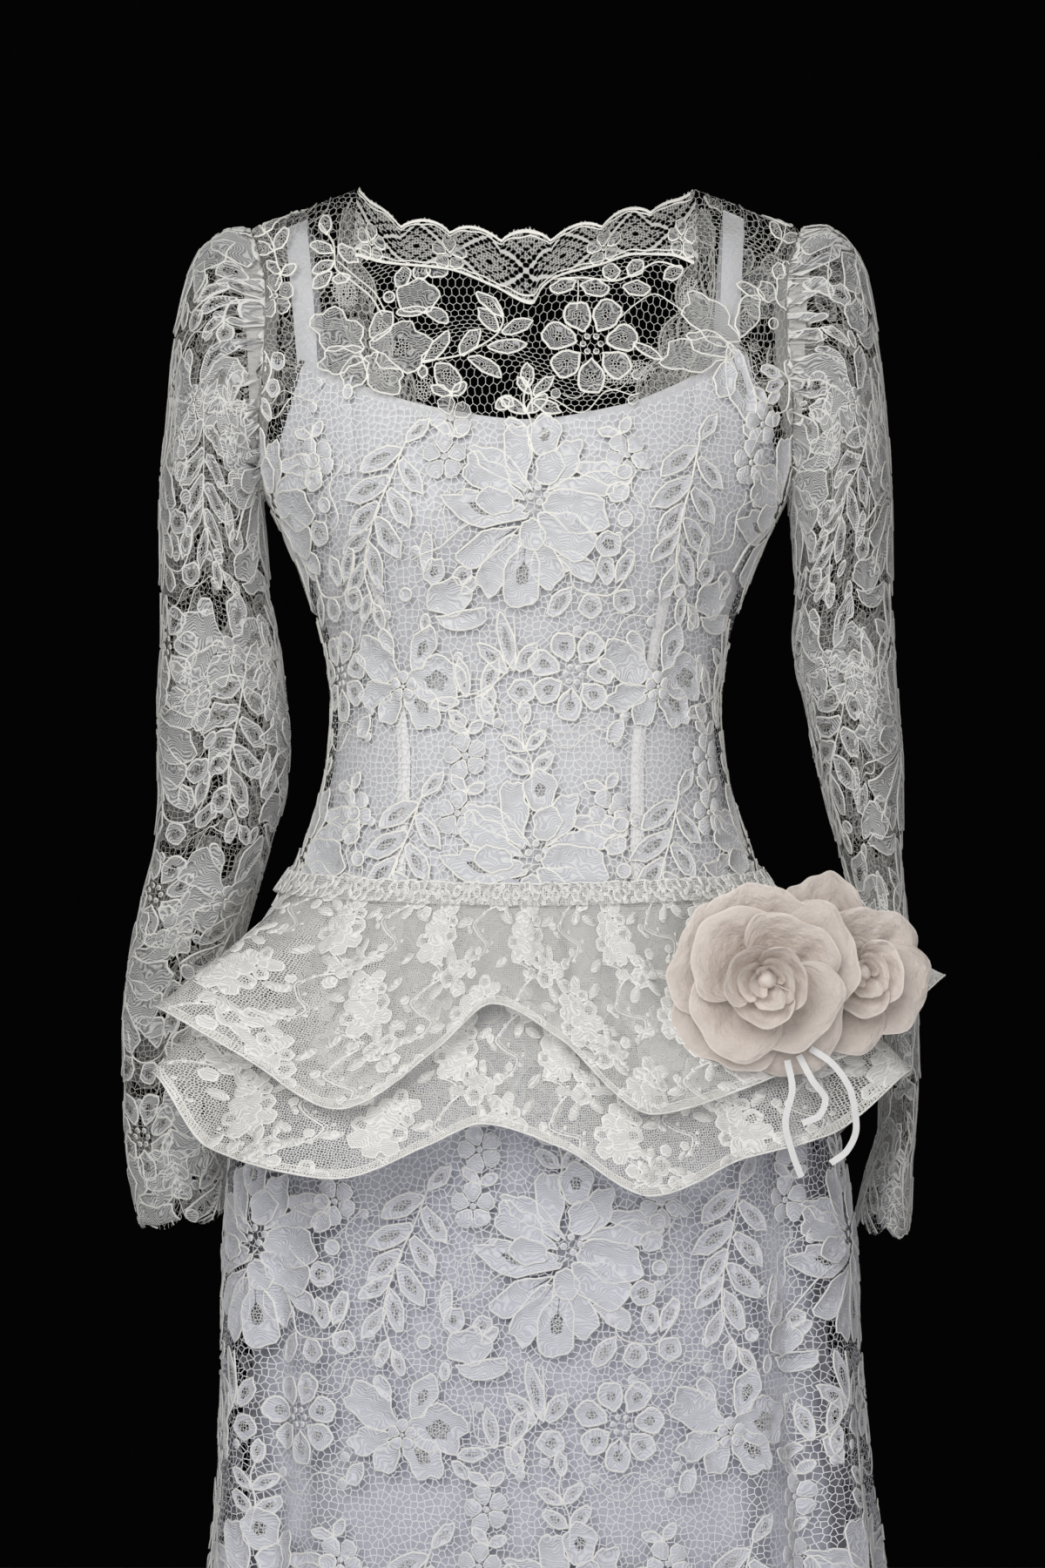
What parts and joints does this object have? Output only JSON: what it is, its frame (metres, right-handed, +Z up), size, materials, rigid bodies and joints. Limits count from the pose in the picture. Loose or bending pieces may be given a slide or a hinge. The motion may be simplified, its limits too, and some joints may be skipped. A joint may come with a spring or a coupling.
{
  "type": "wedding dress",
  "caption": "Floor-length lace wedding dress with long sheer sleeves, an open back, a tiered gathered peplum, organza roses and a flared skirt over a satin underdress.",
  "frame": {"origin": "midway between the tops of the two shoulders, on the shoulder line, where the wearer carries the dress", "axes": "+Z up, -Y out of the front of the dress, +X towards the wearer's left side; the dress hangs down from the origin"},
  "size_m": [0.6665, 0.4915, 1.4289],
  "materials": {
    "satin_lining": "soft sheen, matte satin",
    "corded_lace": "matte corded floral lace on net",
    "lace_border": "matte scalloped lace border",
    "peplum_lace": "matte soft lace",
    "organza": "sheer organza, slight sheen",
    "satin_ribbon": "satin"
  },
  "bodies": {
    "root": {"armhole_binding_left": "satin_lining", "armhole_binding_right": "satin_lining", "back_placket": "corded_lace", "boning_casing_left": "satin_lining", "boning_casing_right": "satin_lining", "lace_back_left": "corded_lace", "lace_back_right": "corded_lace", "lace_front": "corded_lace", "lace_skirt_back_left": "corded_lace", "lace_skirt_back_right": "corded_lace", "lace_skirt_front": "corded_lace", "lining_back_left": "satin_lining", "lining_back_right": "satin_lining", "lining_front": "satin_lining", "lining_side_left": "satin_lining", "lining_side_right": "satin_lining", "neck_band_back_left": "lace_border", "neck_band_back_right": "lace_border", "neck_band_front": "lace_border", "peplum_heading_back": "peplum_lace", "peplum_heading_front": "peplum_lace", "peplum_lower_back": "peplum_lace", "peplum_lower_edge_back": "organza", "peplum_lower_edge_front": "organza", "peplum_lower_front": "peplum_lace", "peplum_upper_back": "peplum_lace", "peplum_upper_edge_back": "organza", "peplum_upper_edge_front": "organza", "peplum_upper_front": "peplum_lace", "ribbon_1": "satin_ribbon", "ribbon_2": "satin_ribbon", "ribbon_3": "satin_ribbon", "rose_large_core": "organza", "rose_large_petal_1_1": "organza", "rose_large_petal_1_2": "organza", "rose_large_petal_1_3": "organza", "rose_large_petal_1_4": "organza", "rose_large_petal_1_5": "organza", "rose_large_petal_2_1": "organza", "rose_large_petal_2_2": "organza", "rose_large_petal_2_3": "organza", "rose_large_petal_2_4": "organza", "rose_large_petal_3_1": "organza", "rose_large_petal_3_2": "organza", "rose_large_petal_3_3": "organza", "rose_small_core": "organza", "rose_small_petal_1_1": "organza", "rose_small_petal_2_1": "organza", "rose_small_petal_2_2": "organza", "rose_small_petal_2_3": "organza", "rose_small_petal_2_4": "organza", "rose_small_petal_3_1": "organza", "rose_small_petal_3_2": "organza", "rose_small_petal_3_3": "organza", "sleeve_left": "corded_lace", "sleeve_right": "corded_lace", "strap_left": "satin_lining", "strap_right": "satin_lining", "underskirt_back": "satin_lining", "underskirt_front": "satin_lining"}
  },
  "joints": []
}
